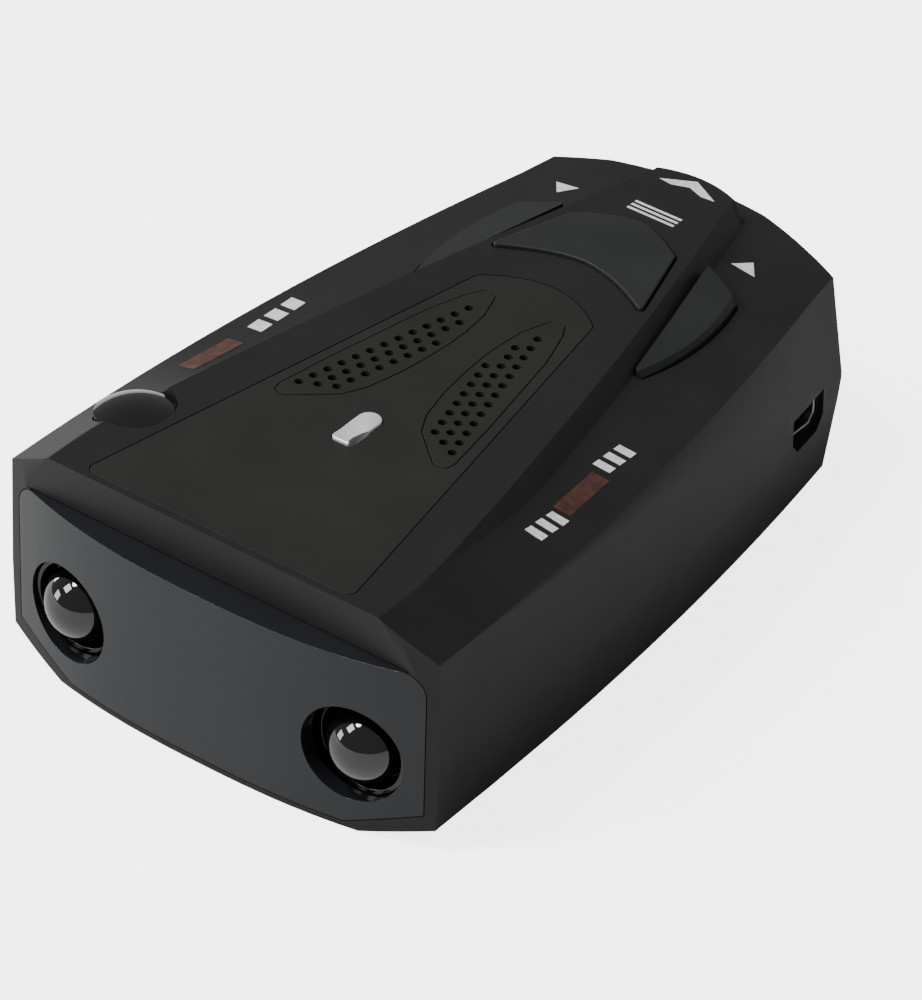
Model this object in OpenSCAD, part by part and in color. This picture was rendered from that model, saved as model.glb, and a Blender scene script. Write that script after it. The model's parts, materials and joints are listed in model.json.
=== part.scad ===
// Dashboard radar detector with a bowed front visor, two beam lenses, a roof speaker panel,
// three sprung buttons and a display window at the back.
// The visor looks along -Y, the display along +Y, and the case stands on z = 0.

/* [Case] */
// Length from the middle of the visor to the middle of the back
body_l = 99; // [94:0.5:120]
// Width across the belt at the front
body_w = 62; // [58:0.5:76]
// Width across the belt at the back
tail_w = 48; // [44:0.5:52]
// Height of the roof deck above the surface that the case stands on
deck_z = 30.6; // [29.6:0.2:33]
// Height of the outer edge of the sloping side roof
eave_z = 26.2; // [25:0.1:27]
// Width between the two eaves at the back
eave_tail_w = 42.2; // [40:0.2:44]
// Height of the joint between the two case halves
split_z = 11.5; // [11.3:0.1:12.5]
// Thickness of the side walls and side roof
wall = 1.8; // [1.4:0.1:2.2]
// Thickness of the roof deck
deck_t = 2.6; // [2.4:0.1:3]
// Thickness of the floor
floor_t = 2; // [1.6:0.1:2.6]
// How far the front bows forward between its corners
bow = 4.3; // [3:0.1:5]
// How far the back arches out between its corners
arch = 6.8; // [5:0.1:8]
// Lean of the lower back face, in degrees
tail_lean = 15; // [8:1:18]
// Width of the sloping underside at each side
chamfer_w = 9; // [6:0.2:10]
// Height of the sloping underside at each side
chamfer_h = 3; // [2.4:0.2:3.6]

/* [Roof deck] */
// Width of the raised deck at the front
deck_w = 47; // [44:0.5:50]
// Width of the raised deck at its back end
deck_tail_w = 10.4; // [9:0.2:12]
// Sideways swell of the deck edges between front and back
deck_swell = 1.3; // [0.5:0.1:1.6]
// Height of the step beside the deck
step_h = 2.2; // [1.6:0.1:2.6]
// Length over which the step grows to its full height
step_run = 24; // [16:1:30]
// Distance from the back of the case to the end of the deck's tab
tab_in = 3.3; // [2.4:0.1:4]

/* [Visor] */
// Strip of case left visible beside the visor
visor_in = 1.7; // [1.2:0.1:2.4]
// Thickness of the visor's face
visor_t = 2; // [1.6:0.1:2.4]
// Thickness of the visor's rim
visor_rim = 1.6; // [1.2:0.1:2]
// Height of the brow above the visor
brow_z = 24.1; // [23:0.1:25]
// Lean of the brow's front face, in degrees
brow_lean = 9.5; // [5:0.5:12]
// Radius of the visor's upper corners
visor_r = 3; // [2:0.2:4]
// Distance of each beam lens from the side of the case
lens_in = 10.4; // [10:0.1:12]
// Height of the beam lenses
lens_z = 10.5; // [10.2:0.1:12]
// Radius of the opening round each beam lens
lens_hole_r = 6.3; // [6:0.1:6.9]
// Radius of the dome of each beam lens
lens_r = 4.8; // [3.8:0.1:4.8]

/* [Speaker panel] */
// Width of the panel at its front edge
panel_w = 38.2; // [34:0.2:40]
// Width of the panel at its back corners
panel_tail_w = 17; // [15:0.2:20]
// Length of the panel along its sides
panel_l = 59; // [54:0.5:60]
// Rise of the panel's arched back edge
panel_arch = 3.5; // [2:0.1:5]
// Thickness of the panel and its grilles
panel_t = 1.2; // [1:0.1:1.4]
// Diameter of the holes in the grilles
grille_hole = 1.1; // [0.8:0.1:1.2]
// Distance between neighbouring holes across the grille
grille_pitch = 1.8; // [1.6:0.05:2.2]
// Radius of the speaker
speaker_r = 14; // [12:0.1:14.5]
// Travel of the speaker's diaphragm either way
cone_travel = 0.2; // [0.1:0.05:0.3]

/* [Buttons] */
// Strip of deck beside each front tip of the menu button
menu_side = 1.2; // [1:0.1:3]
// Strip of deck beside each back corner of the menu button
menu_tail_side = 1.9; // [1.4:0.1:3]
// Length of the menu button along its sides
menu_l = 12; // [10:0.5:13]
// Arch of the menu button's front edge
menu_front_arch = 4.4; // [2:0.1:5]
// Arch of the menu button's back edge
menu_back_arch = 3.4; // [2:0.1:4]
// Length of each side button
side_key_l = 22.4; // [18:0.2:24]
// How far the menu button stands above the deck
key_proud = 0.4; // [0.2:0.1:0.8]
// How far the side buttons stand above the foot of the deck's step
side_key_proud = 1.2; // [0.6:0.1:1.6]
// Width of the bevel along the outer edge of each side button
side_key_bevel = 1.5; // [0.8:0.1:2]
// Gap round each button
key_gap = 0.25; // [0.15:0.05:0.4]
// Travel of each button
key_travel = 0.35; // [0.2:0.05:0.5]

/* [Electronics] */
// Thickness of the main circuit board
board_t = 1.2; // [1:0.1:1.6]
// Thickness of the button circuit board
key_board_t = 1.2; // [1:0.1:1.6]
// Width of the horn antenna's mouth
horn_w = 25; // [20:0.5:26]
// Height of the horn antenna's mouth
horn_h = 14; // [10:0.5:15]
// Length of the horn antenna's flare
horn_l = 20; // [16:0.5:22]
// Width of the display window
window_w = 32; // [28:0.5:34]
// Height of the display window
window_h = 10.4; // [8:0.2:11]
// Width of the power socket's metal shell
socket_w = 6.6; // [6:0.1:8]
// Height of the power socket's metal shell
socket_h = 3.8; // [3.4:0.1:4.4]
// Radius of the roof sensor's dome where it leaves the roof
sensor_r = 4.8; // [4:0.1:4.8]

/* [Fits] */
// Gap round pieces that drop into a seat
seat_gap = 0.12; // [0.05:0.01:0.2]
// Radius of the case screws' shanks
screw_r = 1; // [0.8:0.05:1.2]
// Radius of the small board screws' shanks
small_screw_r = 0.9; // [0.7:0.05:1]

/* [Hidden] */
$fn = 48;
eps = 0.02;
big = 200;

front_y = -body_l / 2;
back_y = body_l / 2;
nose_y = front_y + bow;
tail_y = back_y - arch;
tab_y = back_y - tab_in;

// Case curves.  along() runs from 0 at the front corners to 1 at the back corners.
lean_z = 14;
side_draft = 0.3;
bow_power = 2.5;
crease_drop = 12;
rib_count = 17;
function clamp(v) = max(0, min(1, v));
function smooth(v) = v * v * (3 - 2 * v);
function along(y) = clamp((y - nose_y) / (tail_y - nose_y));
function belt(y) = body_w / 2 - (body_w - tail_w) / 2 * pow(along(y), 2.2);
function eave(y) = body_w / 2 - side_draft - (body_w - eave_tail_w) / 2 * pow(along(y), 1.95);
function crease_z(y) = eave_z - side_draft - crease_drop * pow(along(y), 2.5);

// Deck curves.  The deck narrows and a step grows beside it towards the back.
deck_y = front_y + 11.5;
tab_foot_y = tab_y - 2.2;
tail_drop = 0.8;
function deck_run(y) = clamp((y - deck_y) / (tab_y - deck_y));
function deck(y) = deck_w / 2 - (deck_w - deck_tail_w) / 2 * deck_run(y)
    + 4 * deck_swell * deck_run(y) * (1 - deck_run(y));
function step(y) = 0.15 + step_h * smooth(clamp((y - deck_y) / step_run)) + 0.4 * deck_run(y)
    + tail_drop * max(0, (y - tab_foot_y) / (back_y - tab_foot_y));
function side_top(y) = deck_z - step(y);
function step_foot(y) = deck(y) + 0.2 + 0.6 * step(y);
tab_half = step_foot(tab_y) + 1;
tab_curve = 2.6;

// Visor and beam lenses.
visor_half = body_w / 2 - visor_in;
visor_foot_z = 0.8;
visor_back_y = nose_y + 0.6;
frame_t = 1.6;
frame_back_y = visor_back_y + frame_t;
brow_y = nose_y - 1;
lens_x = body_w / 2 - lens_in;
cup_front_y = nose_y - 0.8;
cup_flange_y = visor_back_y + 0.7;
cup_flange_t = 1;
cup_r = lens_hole_r - 0.1;
lens_flange_t = 0.8;
lens_y = front_y + lens_r + 0.1;
diode_size = 5;
diode_front_y = cup_flange_y + cup_flange_t + lens_flange_t + 1.2;
diode_l = 2.6;

// Panel, grilles and speaker.
panel_front_y = front_y + 3.2;
panel_back_y = panel_front_y + panel_l;
panel_z = deck_z - panel_t;
ceiling_z = deck_z - deck_t;
speaker_y = front_y + 44.5;
gasket_t = 0.6;
speaker_top_z = ceiling_z - gasket_t;
speaker_h = 3.4;
speaker_floor_z = speaker_top_z - speaker_h;
magnet_r = 6.5;
magnet_h = 2.6;
coil_r = 4.6;
leaf_y = front_y + 28.7;
leaf_points = [[10.9, 0], [5.9, 4.3], [4.4, 7.2], [3.3, 11.8], [2.7, 16.2], [2.4, 20.2],
    [2.4, 23.4], [2.8, 27.3], [4.1, 31.3], [5.7, 31.8], [6.9, 29.6], [8.6, 24.2], [9.9, 17.3],
    [11.4, 9.4], [12.6, 1.6], [12.3, 0.2]];
hole_margin = 0.5;
window_bar_y = front_y + 28.9;
window_bar_w = 3;
window_bar_l = 6.8;

// Buttons, switches and their board.
key_board_top = 19.6;
key_board_z = key_board_top - key_board_t;
switch_size = 6;
switch_h = 3.5;
plunger_r = 1.75;
plunger_rise = 0.8;
plunger_top = key_board_top + switch_h + plunger_rise;
menu_y = back_y - 31.2;
menu_half = deck(menu_y) - menu_side;
menu_tail_half = deck(menu_y + menu_l) - menu_tail_side;
menu_switch_y = menu_y + 7.7;
menu_flange_top = ceiling_z - 0.35;
menu_flange_t = 1.2;
key_flange = 0.7;
side_key_y = back_y - 38.5;
side_switch_x = 15.3;
side_switch_y = side_key_y + 11;
side_key_tilt = 9.5;
side_key_in = 0.3;
side_key_low = eave_z + 1.2;
side_flange_top = side_top(side_switch_y) - 3;
side_flange_t = 0.8;
key_post_x = 21.2;
key_post_y = side_key_y + 13;
key_post_front_y = side_key_y + 2;
key_post_r = 2.2;

// Main board, posts and screws.
board_top = split_z - 0.6;
board_z = board_top - board_t;
board_gap = 1;
board_front_y = diode_front_y + diode_l;
board_back_y = back_y - 10.9;
horn_bay = horn_w / 2 + 2.1;
horn_block_l = 16;
horn_front_y = frame_back_y + 0.4;
horn_z = 12;
horn_throat_y = horn_front_y + horn_l;
horn_back_y = horn_throat_y + horn_block_l;
horn_ear_y = horn_back_y - 7;
horn_ear_x = horn_w / 2 - 0.9;
horn_ear_z = 8;
horn_ear_t = 1.5;
horn_post_r = 1.9;
board_post_r = 2.4;
bay_back_y = horn_back_y + 3;
post_r = 2.6;
front_post = [body_w / 2 - 6, front_y + 27.5];
back_post = [tail_w / 2 - 6.2, back_y - 9.3];
board_post_front = [body_w / 2 - 12, front_y + 16.5];
board_post_back = [tail_w / 2 - 7, back_y - 21.5];
counterbore_z = 5;
case_screw_l = 12;

// Display, power socket and roof sensor.
window_z = split_z + 6.9;
window_t = 1.2;
display_w = 26;
display_h = 12;
display_board_y = back_y - 12.6;
display_board_t = 1.2;
display_front_y = back_y - 4.5;
socket_y = back_y - 15.7;
socket_z = board_top + socket_h / 2;
socket_l = 8;
socket_mouth_x = belt(socket_y + socket_w / 2) - 0.9;
sensor_x = -(body_w / 2 - 8.1);
sensor_y = front_y + 16.7;
sensor_z = deck_z - 0.8;
sensor_tilt = 8;
sensor_pitch = 4;
sensor_rise = 1.4;
sensor_flange_z = -3.1;

// ---------- Shared shapes ----------

module both() {
    children();
    mirror([1, 0, 0]) children();
}

module rounded(r) {
    offset(r) offset(-r) children();
}

// A solid with the ring of points given for each rib along Y.
module loft(rings) {
    n = len(rings[0]);
    last = len(rings) - 1;
    points = [for (ring = rings) each ring];
    sides = [for (j = [0:last - 1], i = [0:n - 1])
        let (a = j * n + i, b = j * n + (i + 1) % n) each [[a, b, b + n], [a, b + n, a + n]]];
    front = [for (i = [1:n - 2]) [0, i + 1, i]];
    back = [for (i = [1:n - 2]) [last * n, last * n + i, last * n + i + 1]];
    polyhedron(points, concat(sides, front, back), convexity = 4);
}

// Right half of the case section at one y, from the keel up to the deck edge, set in by t.
function half_section(y, t) = let (
    deep = t > 0,
    deck_in = deep ? deck_t : 0,
    top = deck_z - deck_in,
    foot_z = deep ? min(side_top(y) - t, top - 0.1) : side_top(y)) [
    [belt(y) - side_draft - chamfer_w - 0.5 * t, deep ? floor_t : 0],
    [belt(y) - side_draft - t, chamfer_h + 0.7 * t],
    [belt(y) - t, split_z],
    [belt(y) - side_draft * (crease_z(y) - split_z) / 14 - t, crease_z(y) - 0.5 * t],
    [eave(y) - t, eave_z - t],
    [step_foot(y) - 0.3 * t, foot_z],
    [deck(y) - 0.5 * t, top]];

function ring(y, t) = let (half = half_section(y, t), n = len(half)) concat(
    [for (p = half) [p[0], y, p[1]]],
    [for (i = [n - 1:-1:0]) [-half[i][0], y, half[i][1]]]);

function ribs() = concat([front_y - 1],
    [for (i = [0:rib_count]) nose_y + i * (tab_foot_y - nose_y) / rib_count], [back_y + 1]);

// Plan outline between the bowed front and the arched back, set in by t.
plan_half = body_w / 2 + 4;
function front_curve(t) = [for (x = [-plan_half:plan_half / 16:plan_half])
    [x, front_y + bow * pow(2 * abs(x) / body_w, bow_power) + t]];
function back_curve(t) = [for (x = [plan_half:-plan_half / 16:-plan_half])
    [x, back_y - arch * pow(2 * x / tail_w, 2) - t]];

module plan_prism(front_in, back_in) {
    translate([0, 0, -eps]) linear_extrude(deck_z + 10)
        polygon(concat(front_curve(front_in), back_curve(back_in)));
}

// The lower back face leans forward as it goes down.
module lean_prism(t) {
    translate([0, back_y, lean_z]) rotate([-tail_lean, 0, 0]) translate([0, -back_y, -90])
        linear_extrude(180) polygon(concat(back_curve(t), [[-plan_half, front_y - 30],
            [plan_half, front_y - 30]]));
}

// The roof is cut back above the visor, which leaves a straight brow.
module brow_cut() {
    translate([0, brow_y, brow_z]) rotate([brow_lean, 0, 0]) translate([-big / 2, -30, 0])
        cube([big, 30, 30]);
}

// The deck ends in a short tab with a curved end.
module tab_cut() {
    run = back_y - tab_foot_y;
    intersection() {
        linear_extrude(deck_z + 10) polygon(concat(
            [for (i = [-8:8]) [tab_half * i / 8, tab_y - tab_curve * pow(i / 8, 2)]],
            [[tab_half, back_y + 9], [-tab_half, back_y + 9]]));
        translate([0, back_y, side_top(back_y)]) rotate([-atan2(tail_drop, run), 0, 0])
            translate([-big / 2, -big / 2, 0]) cube([big, big, 30]);
    }
}

module case_form() {
    difference() {
        intersection() {
            loft([for (y = ribs()) ring(y, 0)]);
            plan_prism(0, 0);
            lean_prism(0);
        }
        brow_cut();
        tab_cut();
    }
}

module cavity() {
    difference() {
        intersection() {
            loft([for (y = ribs()) ring(y, wall)]);
            plan_prism(0, wall);
            lean_prism(wall);
            translate([-big / 2, frame_back_y, -1]) cube([big, big, big]);
        }
        translate([0, -deck_t, -wall]) tab_cut();
    }
}

module above_split() {
    translate([-big / 2, -big / 2, split_z]) cube([big, big, big]);
}

// Outline of the visor seen from the front, grown by g.
module visor_outline(g) {
    foot_half = belt(nose_y) - chamfer_w - 2.2;
    side_z = chamfer_h + 1.8;
    offset(delta = g) intersection() {
        rounded(visor_r) polygon([[-visor_half, -9], [visor_half, -9], [visor_half, brow_z],
            [-visor_half, brow_z]]);
        polygon([[-foot_half, visor_foot_z], [foot_half, visor_foot_z], [visor_half, side_z],
            [visor_half, deck_z], [-visor_half, deck_z], [-visor_half, side_z]]);
    }
}

// Extrudes a front view outline between two y positions.
module front_view(y0, y1) {
    translate([0, y1, 0]) rotate([90, 0, 0]) linear_extrude(y1 - y0) children();
}

// Turns a profile of [radius, depth] about an axis along +Y from a lens centre.
module lens_turn(side) {
    translate([side * lens_x, 0, lens_z]) rotate([-90, 0, 0]) rotate_extrude() children();
}

module window_outline(g) {
    offset(delta = g) rounded(1.6) translate([-window_w / 2, window_z - window_h / 2])
        square([window_w, window_h]);
}

module panel_outline(g) {
    half = panel_tail_w / 2;
    offset(delta = g) rounded(1.2) polygon(concat(
        [[-panel_w / 2, panel_front_y], [panel_w / 2, panel_front_y]],
        [for (i = [6:-1:-6]) [half * i / 6, panel_back_y + panel_arch * (1 - pow(i / 6, 2))]]));
}

module leaf_outline(g) {
    offset(delta = g) rounded(0.5) translate([0, leaf_y]) polygon(leaf_points);
}

// True where a point lies inside every edge of the leaf by at least m.
function in_leaf(p, m) = let (n = len(leaf_points)) min([for (i = [0:n - 1])
    let (a = leaf_points[i], b = leaf_points[(i + 1) % n], e = b - a)
        (e[1] * (p[0] - a[0]) - e[0] * (p[1] - a[1])) / norm(e)]) > m;

module light_window_outline(g) {
    back_r = window_bar_w / 2;
    front_r = 0.7;
    offset(delta = g) translate([0, window_bar_y]) hull() {
        translate([0, window_bar_l / 2 - back_r]) circle(r = back_r);
        for (side = [-1, 1]) translate([side * (back_r - front_r), front_r - window_bar_l / 2])
            circle(r = front_r);
    }
}

module menu_outline(g) {
    offset(delta = g) rounded(0.4) polygon(concat(
        [for (i = [-8:8])
            [menu_half * i / 8, menu_y + menu_front_arch * (1 - pow(abs(i) / 8, 1.7))]],
        [for (i = [8:-1:-8]) [menu_tail_half * i / 8,
            menu_y + menu_l + menu_back_arch * (1 - pow(abs(i) / 8, 1.5))]]));
}

// A side button lies along the foot of the deck's step.
function side_key_outer(y) = side_switch_x + 2.6 - 1.8 * pow((y - side_switch_y + 2) / 11.5, 2);
function side_key_inner(y) = step_foot(y) + key_gap - side_key_in;
module side_key_outline(g) {
    steps = 8;
    offset(delta = g) rounded(0.5) polygon(concat(
        [for (i = [0:steps]) let (y = side_key_y + i * (side_key_l - 3) / steps)
            [side_key_outer(y), y]],
        [for (i = [steps:-1:0]) let (y = side_key_y + i * side_key_l / steps)
            [side_key_inner(y), y]]));
}

// The slab of roof height that a cut or a button passes through.
module through_roof(z0, z1) {
    translate([0, 0, z0]) linear_extrude(z1 - z0) children();
}

module at_roof_sensor() {
    translate([sensor_x, sensor_y, sensor_z]) rotate([-sensor_pitch, -sensor_tilt, 0])
        children();
}

module socket_profile(g) {
    offset(delta = g) polygon([[-socket_w / 2, socket_h / 2], [socket_w / 2, socket_h / 2],
        [socket_w / 2, -socket_h / 6], [socket_w / 2 - 1.1, -socket_h / 2],
        [1.1 - socket_w / 2, -socket_h / 2], [-socket_w / 2, -socket_h / 6]]);
}

// Lays a profile of the power socket along +X from x0.
module along_socket(x0, l) {
    translate([x0, socket_y, socket_z]) rotate([90, 0, 90]) linear_extrude(l) children();
}

module tube_z(r_out, r_in, z0, z1) {
    translate([0, 0, z0]) difference() {
        cylinder(r = r_out, h = z1 - z0);
        translate([0, 0, -eps]) cylinder(r = r_in, h = z1 - z0 + 2 * eps);
    }
}

// A screw standing on its thread's tip, with a cross recess in its head.
module screw(r, head_r, head_h, l) {
    cylinder(r = r, h = l);
    translate([0, 0, l]) difference() {
        cylinder(r = head_r, h = head_h);
        for (turn = [0, 90]) rotate(turn) translate([-0.8 * head_r, -0.16 * head_r, 0.4 * head_h])
            cube([1.6 * head_r, 0.32 * head_r, head_h]);
    }
}

// ---------- Case ----------

module top_shell() {
    color("#2b2c2e") difference() {
        union() {
            difference() {
                intersection() {
                    case_form();
                    above_split();
                }
                difference() {
                    cavity();
                    both() for (p = [front_post, back_post]) translate([p[0], p[1], split_z])
                        cylinder(r = post_r, h = deck_z - split_z);
                }
            }
            both() translate([key_post_x, key_post_y, key_board_top])
                cylinder(r = key_post_r, h = 5.2);
            translate([0, key_post_front_y, key_board_top])
                cylinder(r = key_post_r, h = ceiling_z - key_board_top + eps);
            translate([0, speaker_y, 0]) tube_z(speaker_r + 1.1, speaker_r + seat_gap,
                speaker_top_z - 1.4, ceiling_z + eps);
        }
        both() for (p = [front_post, back_post]) translate([p[0], p[1], 0])
            cylinder(r = screw_r, h = counterbore_z + case_screw_l + 0.5);
        both() translate([key_post_x, key_post_y, 0])
            cylinder(r = small_screw_r, h = key_board_top + 4);
        translate([0, key_post_front_y, 0]) cylinder(r = small_screw_r, h = key_board_top + 4);
        front_view(front_y - 5, visor_back_y) visor_outline(seat_gap);
        front_view(front_y - 5, frame_back_y + 1) visor_outline(-1.4);
        through_roof(panel_z, deck_z + 1) panel_outline(seat_gap);
        both() through_roof(ceiling_z - 1, deck_z) leaf_outline(-0.8);
        through_roof(ceiling_z - 1, deck_z) light_window_outline(-0.5);
        through_roof(ceiling_z - 1, deck_z + 1) menu_outline(key_gap);
        both() through_roof(side_flange_top - 0.4, deck_z - 0.6) side_key_outline(key_gap);
        both() through_roof(side_flange_top - 1, side_flange_top + 0.3)
            side_key_outline(key_flange + key_gap);
        front_view(back_y - 8, back_y + 1) window_outline(-1);
        difference() {
            front_view(back_y - 8, back_y + 1) window_outline(seat_gap);
            plan_prism(0, window_t);
        }
        along_socket(socket_mouth_x - 3, 6) socket_profile(0.3);
        along_socket(socket_mouth_x, 6) socket_profile(0.7);
        at_roof_sensor() {
            translate([0, 0, -6]) cylinder(r = sensor_r + 0.15, h = 12);
            translate([0, 0, -6]) cylinder(r = sensor_r + 1, h = 6 + sensor_flange_z + 0.9);
        }
    }
}

module bottom_posts() {
    both() {
        for (p = [front_post, back_post]) translate([p[0], p[1], 0])
            cylinder(r = post_r + 0.4, h = split_z - 0.1);
        for (p = [board_post_front, board_post_back]) translate([p[0], p[1], 0])
            cylinder(r = board_post_r, h = board_z);
        translate([horn_ear_x, horn_ear_y, 0]) cylinder(r = horn_post_r, h = horn_ear_z);
    }
}

module bottom_shell() {
    color("#292a2c") difference() {
        union() {
            difference() {
                case_form();
                above_split();
                cavity();
            }
            intersection() {
                case_form();
                bottom_posts();
            }
        }
        both() for (p = [front_post, back_post]) translate([p[0], p[1], -1]) {
            cylinder(r = screw_r + 0.15, h = split_z + 2);
            cylinder(r = 2 * screw_r + 0.2, h = counterbore_z + 1);
        }
        both() for (p = [board_post_front, board_post_back]) translate([p[0], p[1], 3.5])
            cylinder(r = small_screw_r, h = split_z);
        both() translate([horn_ear_x, horn_ear_y, 3]) cylinder(r = small_screw_r, h = split_z);
        front_view(front_y - 5, visor_back_y) visor_outline(seat_gap);
        front_view(front_y - 5, frame_back_y + 1) visor_outline(-1.4);
        along_socket(socket_mouth_x - 3, 6) socket_profile(0.3);
        along_socket(socket_mouth_x, 6) socket_profile(0.7);
        translate([0, 0, -1]) linear_extrude(1.6) base_outline(seat_gap);
    }
}

module base_outline(g) {
    offset(delta = g) rounded(3) square([tail_w / 2, body_l / 2], center = true);
}

module base_pad() {
    color("#1b1c1d") linear_extrude(0.6) base_outline(0);
}

module front_visor() {
    color("#3d4650") difference() {
        intersection() {
            front_view(front_y - 2, visor_back_y) visor_outline(0);
            plan_prism(0, 0);
        }
        brow_cut();
        intersection() {
            front_view(front_y - 2, visor_back_y + 1) visor_outline(-visor_rim);
            plan_prism(visor_t, 0);
        }
        both() lens_turn(1) translate([0, front_y - 2]) square([lens_hole_r, 20]);
    }
}

module rear_window() {
    color("#241a1c") intersection() {
        front_view(back_y - 8, back_y + 1) window_outline(0);
        difference() {
            plan_prism(0, 0);
            translate([0, 0, -1]) plan_prism(-20, window_t);
        }
    }
}

// ---------- Roof ----------

module speaker_panel() {
    color("#303133") difference() {
        through_roof(panel_z, deck_z) panel_outline(0);
        both() through_roof(panel_z - 1, deck_z + 1) leaf_outline(seat_gap);
        through_roof(panel_z - 1, deck_z + 1) light_window_outline(seat_gap);
    }
}

// Rows of holes slant across the leaf, each row a little forward of the one beside it.
module grille(side) {
    across = grille_pitch * [0.82, 0.57];
    along_leaf = grille_pitch * [-0.28, 1.12];
    start = [9.6, 2.2];
    color("#37383a") mirror([side < 0 ? 1 : 0, 0, 0]) difference() {
        through_roof(panel_z, deck_z) leaf_outline(0);
        for (i = [-6:8], j = [-6:16])
            let (p = start + i * across + j * along_leaf)
                if (in_leaf(p, grille_hole / 2 + hole_margin))
                    translate([p[0], leaf_y + p[1], panel_z - 1])
                        cylinder(d = grille_hole, h = panel_t + 2, $fn = 24);
    }
}

module grille_left() {
    grille(-1);
}

module grille_right() {
    grille(1);
}

module light_window() {
    color("#c9ccce") through_roof(panel_z, deck_z + 0.3) light_window_outline(0);
}

module light_sensor() {
    color("#151617") translate([-1, window_bar_y - 3, ceiling_z - 1.2]) cube([2, 3.2, 1.2]);
}

module roof_sensor_lens() {
    dome_r = (sensor_r * sensor_r + sensor_rise * sensor_rise) / (2 * sensor_rise);
    dome_a = asin(sensor_r / dome_r);
    lip_r = sensor_r + 0.7;
    lip_top = sensor_flange_z + 0.7;
    color("#0c0d0f") at_roof_sensor() rotate_extrude() polygon(concat(
        [for (i = [0:6]) [dome_r * sin(dome_a * i / 6),
            sensor_rise - dome_r + dome_r * cos(dome_a * i / 6)]],
        [[sensor_r, lip_top], [lip_r, lip_top], [lip_r, sensor_flange_z], [0, sensor_flange_z]]));
}

module roof_sensor_holder() {
    color("#1d1e20") at_roof_sensor() difference() {
        translate([0, 0, sensor_flange_z - 3]) cylinder(r = sensor_r + 0.7, h = 3);
        translate([0, 0, sensor_flange_z - 2.2]) cylinder(r = sensor_r - 0.6, h = 4);
    }
}

module roof_sensor_diode() {
    color("#20242c") at_roof_sensor() {
        translate([-2, -2, sensor_flange_z - 2.2]) cube([4, 4, 1.2]);
        translate([0, 0, sensor_flange_z - 1]) cylinder(r = 1.3, h = 0.5);
    }
}

// ---------- Beam lenses ----------

module lens_cup(side) {
    color("#101113") lens_turn(side) polygon([[lens_r + 0.1, cup_flange_y],
        [lens_r + 0.3, cup_flange_y], [lens_hole_r - 0.7, cup_front_y],
        [cup_r, cup_front_y], [cup_r, cup_flange_y], [cup_r + 0.5, cup_flange_y],
        [cup_r + 0.5, cup_flange_y + cup_flange_t], [lens_r + 0.1, cup_flange_y + cup_flange_t]]);
}

module beam_lens(side) {
    back = cup_flange_y + cup_flange_t;
    flange_r = lens_r + 0.9;
    color("#15181c") lens_turn(side) polygon(concat(
        [for (a = [0:7.5:90]) [lens_r * sin(a), lens_y - lens_r * cos(a)]],
        [[lens_r, back], [flange_r, back], [flange_r, back + lens_flange_t],
            [0, back + lens_flange_t]]));
}

module beam_diode(side) {
    color("#20242c") translate([side * lens_x, diode_front_y, lens_z]) {
        translate([-diode_size / 2, 0, -diode_size / 2]) cube([diode_size, diode_l, diode_size]);
        rotate([90, 0, 0]) cylinder(r = 1.6, h = 0.7);
    }
}

module lens_cup_left() {
    lens_cup(-1);
}

module lens_cup_right() {
    lens_cup(1);
}

module beam_lens_left() {
    beam_lens(-1);
}

module beam_lens_right() {
    beam_lens(1);
}

module beam_diode_left() {
    beam_diode(-1);
}

module beam_diode_right() {
    beam_diode(1);
}

// ---------- Boards ----------

function board_edge(y) = belt(y) - wall - board_gap;

module main_board() {
    steps = 8;
    run = board_back_y - board_front_y;
    color("#1f5b3a") difference() {
        translate([0, 0, board_z]) linear_extrude(board_t) difference() {
            polygon(concat(
                [for (i = [0:steps]) let (y = board_front_y + i * run / steps) [board_edge(y), y]],
                [for (i = [steps:-1:0]) let (y = board_front_y + i * run / steps)
                    [-board_edge(y), y]]));
            translate([-horn_bay, board_front_y - 1])
                square([2 * horn_bay, bay_back_y - board_front_y + 1]);
        }
        both() for (p = [front_post, back_post]) translate([p[0], p[1], 0])
            cylinder(r = post_r + 0.7, h = 20);
        both() for (p = [board_post_front, board_post_back]) translate([p[0], p[1], 0])
            cylinder(r = small_screw_r + 0.1, h = 20);
    }
}

module key_board() {
    color("#1f5b3a") difference() {
        translate([0, 0, key_board_z]) linear_extrude(key_board_t) polygon([
            [-4, key_post_front_y - 2.6], [4, key_post_front_y - 2.6],
            [key_post_x - 2, key_post_y - 6.5], [key_post_x + 2, key_post_y - 2.4],
            [key_post_x + 2, key_post_y + 2.4], [key_post_x - 4, key_post_y + 7],
            [4 - key_post_x, key_post_y + 7], [-key_post_x - 2, key_post_y + 2.4],
            [-key_post_x - 2, key_post_y - 2.4], [2 - key_post_x, key_post_y - 6.5]]);
        both() translate([key_post_x, key_post_y, 0]) cylinder(r = small_screw_r + 0.1, h = 30);
        translate([0, key_post_front_y, 0]) cylinder(r = small_screw_r + 0.1, h = 30);
    }
}

module display_board() {
    color("#1f5b3a") translate([-display_w / 2 - 1.4, display_board_y, board_top])
        cube([display_w + 2.8, display_board_t, display_h + 1]);
}

module display_module() {
    color("#17181a") translate([-display_w / 2, display_board_y + display_board_t, board_top + 0.6])
        cube([display_w, display_front_y - display_board_y - display_board_t - 1, display_h]);
}

module display_light_shield() {
    rim = 0.8;
    color("#0e0e0f") translate([-display_w / 2, display_front_y - 1, board_top + 0.6]) difference() {
        cube([display_w, 0.8, display_h]);
        translate([rim, -1, rim]) cube([display_w - 2 * rim, 3, display_h - 2 * rim]);
    }
}

// A rectangular block centred on X and on the horn's height.
module horn_slab(y, w, h, l) {
    translate([-w / 2, y, horn_z - h / 2]) cube([w, l, h]);
}

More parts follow.
